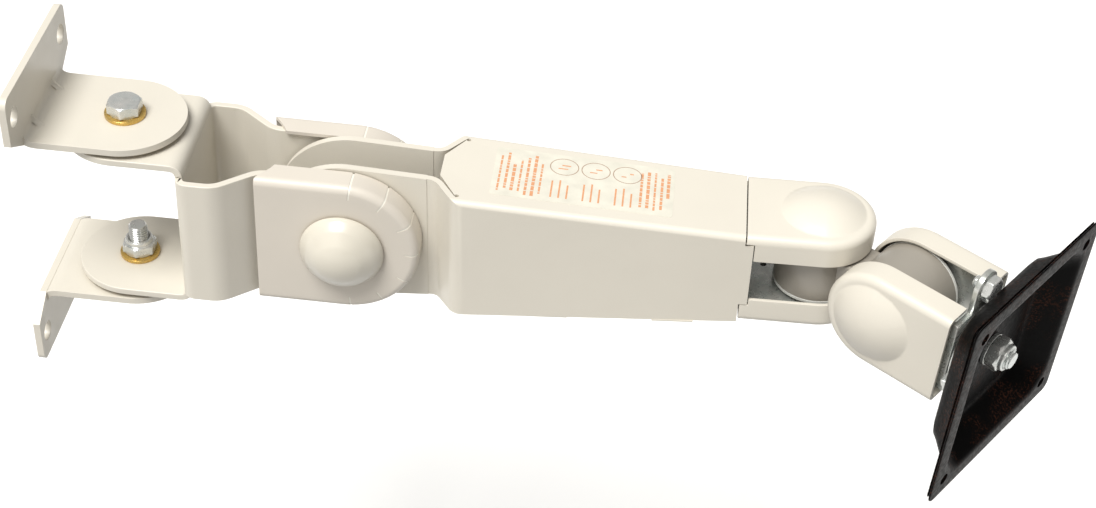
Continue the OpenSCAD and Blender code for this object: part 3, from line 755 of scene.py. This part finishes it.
def on_dart(mid, _edge):
    """Edges of the stiffening darts across the bend of a wall bracket."""
    return 1.0 < mid.x < 8.5 and abs(abs(mid.y) - DART_Y) < 2.2 and 39.0 < abs(mid.z) < 48.0


for name in ("upper_wall_bracket", "lower_wall_bracket"):
    soft_copy(name, ROOT, [(0.9, 3, lambda m, e: e.is_convex and not on_dart(m, e)),
                           (0.4, 2, lambda m, e: e.is_convex and on_dart(m, e))])
soft_copy("yoke", ROOT, [(1.0, 3, outside)])


def envelope():
    """Outside of the arm box with soft creases along its roof, as one closed body."""
    bm = bmesh.new()
    rings = []
    for x in (-45.0, BEND_OUT, BEND_OUT + 4, 105.0, BOX_END - 2, 175.0):
        half_y = 23.56 - 1.9 * (x - BEND_OUT) / (BOX_END + 4 - BEND_OUT)
        top = arm_top(x) + 0.03
        if x < BEND_OUT:
            top, half_y = 36.0, 24.5
        corner = arc(half_y - CREASE, top - CREASE, CREASE, 0, 90, 8)
        outline = ([(half_y, -45.0)] + corner
                   + [(-y, z) for y, z in reversed(corner)] + [(-half_y, -45.0)])
        rings.append([bm.verts.new((x, y, z)) for y, z in outline])
    grid_faces(bm, rings)
    bm.faces.new(rings[0])
    bm.faces.new(rings[-1])
    return bm


bm = combined(cad_mesh("arm_shell", ARM), envelope(), "INTERSECT")
bmesh.ops.dissolve_limit(bm, angle_limit=math.radians(0.7), verts=bm.verts[:], edges=bm.edges[:])
round_edges(bm, 0.8, 3, outside)
finish_piece("arm_shell_skin", bm, ARM, "arm", ivory, ("arm_shell",))
soft_copy("arm_bottom_cover", ARM, [(0.4, 2, outside)])
soft_copy("double_knuckle", KNUCKLE, [(1.2, 3, outside)])
# bright rims at the four ends of the drums
bm = bmesh.new()
for drum_r, tip in ((17.2, ROOT), (18.6, shift(KNUCKLE_LEN) @ turn("X", 90))):
    for flip in (ROOT, mirror("Z")):
        ring = bmesh.new()
        washer(ring, drum_r - 2.4, drum_r + 0.15, 11.2, 12.85, 0.4)
        ring.transform(tip @ flip)
        mesh = bpy.data.meshes.new("ring")
        ring.to_mesh(mesh)
        ring.free()
        bm.from_mesh(mesh)
        bpy.data.meshes.remove(mesh)
finish_piece("knuckle_end_rings", bm, KNUCKLE, "knuckle", nylon)
soft_copy("elbow_bracket", ELBOW, [(0.4, 2, outside)], sheet_zinc)
soft_copy("head_bracket", HEAD, [(0.4, 2, outside)], sheet_zinc)
soft_copy("stop_disc", HEAD, [(0.5, 2, outside)])

# ---------------------------------------------------------------- hardware


def stack(name, place, parts, body, material, replaced=()):
    """A piece made of one or more turned or hexagonal bodies built by functions."""
    bm = bmesh.new()
    for build in parts:
        build(bm)
    finish_piece(name, bm, place, body, material, replaced, sharp=32)


HINGE_X = 37.2
TONGUE_TOP = 40.25
EAR_LOW = 32.25
WASHER_T = 1.6
# each CAD node holds both bolts, washers or nuts, so the upper piece stands for it
for side, flip in (("upper", ROOT), ("lower", mirror("Z"))):
    top = shift(HINGE_X) @ flip
    stands = side == "upper"
    stack(f"hinge_bolt_{side}", top, [
        lambda b: hex_head(b, 13.0, 5.3, TONGUE_TOP + WASHER_T),
        lambda b: lathe(b, [(0, TONGUE_TOP + 1.8), (4.0, TONGUE_TOP + 1.8),
                            (4.0, 30), (0, 30)], 48),
        lambda b: thread(b, 4.0, 30.2, 16.85)], "wall_mount", zinc,
        ("hinge_bolts",) if stands else ())
    stack(f"hinge_washers_{side}", top, [
        lambda b: washer(b, 4.1, 8.4, TONGUE_TOP, TONGUE_TOP + WASHER_T),
        lambda b: washer(b, 4.1, 8.4, EAR_LOW - WASHER_T - 0.05, EAR_LOW - 0.05)],
        "wall_mount", gold, ("hinge_washers",) if stands else ())
    stack(f"hinge_lock_nut_{side}", top @ shift(0, 0, EAR_LOW - WASHER_T - 0.05) @ mirror("Z"), [
        lock_nut], "wall_mount", zinc,
        ("hinge_lock_nuts",) if stands else ())

# the CAD parts that still show take the same looks
for name, obj in nodes.items():
    look = SLOT_LOOK[slot_of_node(name)]
    obj.data.materials.clear()
    obj.data.materials.append(look)

WEB_FRONT = 33.7
LUG_BOLT_Z = 27.0
stack("stop_screw_skin", HEAD @ shift(WEB_FRONT, 0, LUG_BOLT_Z) @ turn("Y", 90), [
    lambda b: hex_head(b, 10.0, 4.0),
    lambda b: thread(b, 3.0, 0.1, -5.5, 1.0)], "head", zinc, ("stop_screw",))
PLATE_FLOOR = 41.45
stack("swivel_bolt_skin", HEAD @ shift(31.2) @ turn("Y", 90), [
    lambda b: hex_head(b, 13.0, 0.2, -0.2, False),
    lambda b: thread(b, 4.0, 2.0, 20.9)], "head", zinc, ("swivel_bolt",))
stack("swivel_washer_skin", HEAD @ shift(PLATE_FLOOR) @ turn("Y", 90), [
    lambda b: washer(b, 4.05, 7.0, 0, WASHER_T)], "head", zinc, ("swivel_washer",))
stack("swivel_lock_nut_skin", HEAD @ shift(PLATE_FLOOR + WASHER_T) @ turn("Y", 90), [
    lock_nut], "head", zinc, ("swivel_lock_nut",))

# ---------------------------------------------------------------- monitor plate

PLATE_FACE = 52.9
PLATE_THICK = 2.0
HOLE_AT, HOLE_R = 37.5, 2.5


def rounded_square(half, r, x):
    """Square ring at x with corners of radius r and points along its sides."""
    steps, side_steps = 8, 6
    points = []
    for corner in range(4):
        cy = (half - r) * (1, 1, -1, -1)[corner]
        cz = (half - r) * (1, -1, -1, 1)[corner]
        for i in range(steps + 1):
            a = math.radians(90 * corner + 90 * i / steps)
            points.append((x, cy + r * math.sin(a), cz + r * math.cos(a)))
    out = []
    for k, p in enumerate(points):
        out.append(p)
        if k % (steps + 1) == steps:
            q = points[(k + 1) % len(points)]
            out += [tuple(p[i] + (q[i] - p[i]) * t / side_steps for i in range(3))
                    for t in range(1, side_steps)]
    return out


def plate_mesh():
    """Dished square plate, its front surface first, then thickened backwards."""
    rows = [(46.0, 4.0, 0.6), (45.8, 3.9, 0.17), (45.4, 3.6, 0.0),  # half side, corner, depth
            (43.0, 5.0, 0.0), (39.6, 11.5, 0.0), (38.4, 12.4, 0.15), (37.4, 12.2, 0.8),
            (36.6, 12.0, 2.0), (33.6, 11.4, 6.2), (31.6, 11.0, 9.0), (30.6, 10.6, 10.6),
            (29.4, 10.2, 11.3), (27.8, 9.8, 11.5), (20.0, 8.0, 11.5), (12.0, 6.0, 11.5)]
    bm = bmesh.new()
    rings = [[bm.verts.new(p) for p in rounded_square(half, r, PLATE_FACE - low)]
             for half, r, low in rows]
    grid_faces(bm, rings)
    bm.faces.new(rings[-1])
    return solid_shell(bm, PLATE_THICK, 0.5)


drill = bmesh.new()
for sy in (-1, 1):
    for sz in (-1, 1):
        lathe(drill, [(0, -6), (HOLE_R, -6), (HOLE_R, 6), (0, 6)], 40,
              (sz * HOLE_AT, sy * HOLE_AT, PLATE_FACE))
drill.transform(turn("Y", 90))
finish_piece("monitor_plate_skin", combined(plate_mesh(), drill, "DIFFERENCE"), HEAD, "plate",
             enamel, ("monitor_plate",))

# ---------------------------------------------------------------- label on the arm roof

SLOPE = math.degrees(math.atan((ROOF_START - ROOF_END) / BOX_END))
LABEL_X = 96.0
LABEL = ARM @ shift(LABEL_X, 1.0, arm_top(LABEL_X)) @ turn("Y", SLOPE)


def flat_box(bm, x0, x1, y0, y1, z0, z1):
    """A box between two values of each of x, y and z."""
    for v in bmesh.ops.create_cube(bm, size=1.0)["verts"]:
        v.co = Vector(((x0 + x1) / 2 + v.co.x * (x1 - x0), (y0 + y1) / 2 + v.co.y * (y1 - y0),
                       (z0 + z1) / 2 + v.co.z * (z1 - z0)))


bm = bmesh.new()
flat_box(bm, -37, 37, -16, 16, 0.0, 0.10)
round_edges(bm, 1.5, 3, lambda m, e: abs(e.verts[0].co.z - e.verts[1].co.z) > 0.05)
finish_piece("arm_label", bm, LABEL, "arm", paper)

# rows of plain dashes and empty ovals stand for the print
bm = bmesh.new()
INK = (0.10, 0.125)  # its lower and upper face above the roof
OVALS_AT = (-8.5, 4.5, 17.5)
LINES = ((-34.2, -13, 11), (-31.4, -11, 13), (-28.6, -12, 6), (-25.8, -12, 9),
         (-23.0, -14, 11), (-20.2, -14, 13), (-17.4, -12, 8), (23.6, -12, 11),
         (26.4, -12, 12), (29.2, -13, 12), (32.0, -12, 9), (34.6, -4, 12))
for row, (x, low, high) in enumerate(LINES):
    y = low
    k = 0
    while y < high:
        length = 1.0 + 2.2 * ((row * 7 + k * 5) % 6) / 5
        half = 0.42 + 0.12 * ((row + k * 3) % 3)
        flat_box(bm, x - half, x + half, y, min(y + length, high), *INK)
        y += length + 0.5
        k += 1
for k, cx in enumerate(OVALS_AT):
    for m in range(3):
        flat_box(bm, cx - 4.4 + m * 3.2, cx - 3.7 + m * 3.2, -13, -2.0 + (m % 2) * 1.8 - m, *INK)
    flat_box(bm, cx - 2.4, cx + 1.6 - k, 6.4, 7.0, *INK)
    flat_box(bm, cx - 1.0 + k, cx + 2.6, 8.6, 9.3, *INK)
finish_piece("arm_label_print", bm, LABEL, "arm", orange_ink)

bm = bmesh.new()
for cx in OVALS_AT:
    rings = []
    for grow in (1.0, 0.94):
        for z in INK:
            rings.append([bm.verts.new((cx + 6.0 * grow * math.cos(a),
                                        8.0 + 5.6 * grow * math.sin(a), z))
                          for a in [2 * math.pi * j / 48 for j in range(48)]])
    grid_faces(bm, [rings[0], rings[1], rings[3], rings[2], rings[0]])
finish_piece("arm_label_ovals", bm, LABEL, "arm", brown_ink)

# ---------------------------------------------------------------- floor, lights, camera

FLOOR_Z = -0.30
bpy.ops.mesh.primitive_plane_add(size=30.0, location=(0.2, 0.6, FLOOR_Z))
floor = bpy.context.object
floor.name = "floor"
floor_look = Nodes("studio_floor")
floor_tone = floor_look.ramp(floor_look.noise(400, 2),
                             [(0.3, (0.93, 0.93, 0.925)), (0.7, (0.95, 0.95, 0.95))])
floor_look.link(floor_tone, floor_look.shader.inputs["Base Color"])
floor_look.set(Roughness=0.9)
floor.data.materials.append(floor_look.material)
floor.visible_diffuse = False  # it does not brighten the undersides

world = bpy.data.worlds.new("studio")
bpy.context.scene.world = world
world.use_nodes = True
sky = world.node_tree.nodes["Background"]
sky.inputs["Color"].default_value = (1.0, 0.985, 0.96, 1.0)
sky.inputs["Strength"].default_value = 0.38


def sun(name, towards, strength, spread, colour):
    """Even light from one side; towards points from the object to the light."""
    data = bpy.data.lights.new(name, "SUN")
    data.energy = strength
    data.angle = math.radians(spread)
    data.color = colour
    lamp = bpy.data.objects.new(name, data)
    lamp.location = (0.2, 0.0, 1.0)
    lamp.rotation_euler = Vector(towards).to_track_quat("Z", "Y").to_euler()
    bpy.context.scene.collection.objects.link(lamp)


sun("key", (-0.28, -0.40, 1.0), 3.7, 32, (1.0, 0.99, 0.965))
sun("fill", (-0.5, -1.0, 0.35), 0.5, 60, (1.0, 0.985, 0.96))

scene = bpy.context.scene
scene.view_settings.view_transform = "Standard"
CAMERA_AT = (0.24333, -0.5994, 0.48402)
CAMERA_TURN = (50.4659, -3.109, 5.5032)
lens = bpy.data.cameras.new("camera")
lens.lens = 60.88
lens.sensor_width = 36.0
lens.clip_start = 0.01
camera = bpy.data.objects.new("camera", lens)
camera.location = CAMERA_AT
camera.rotation_euler = [math.radians(a) for a in CAMERA_TURN]
scene.collection.objects.link(camera)
scene.camera = camera
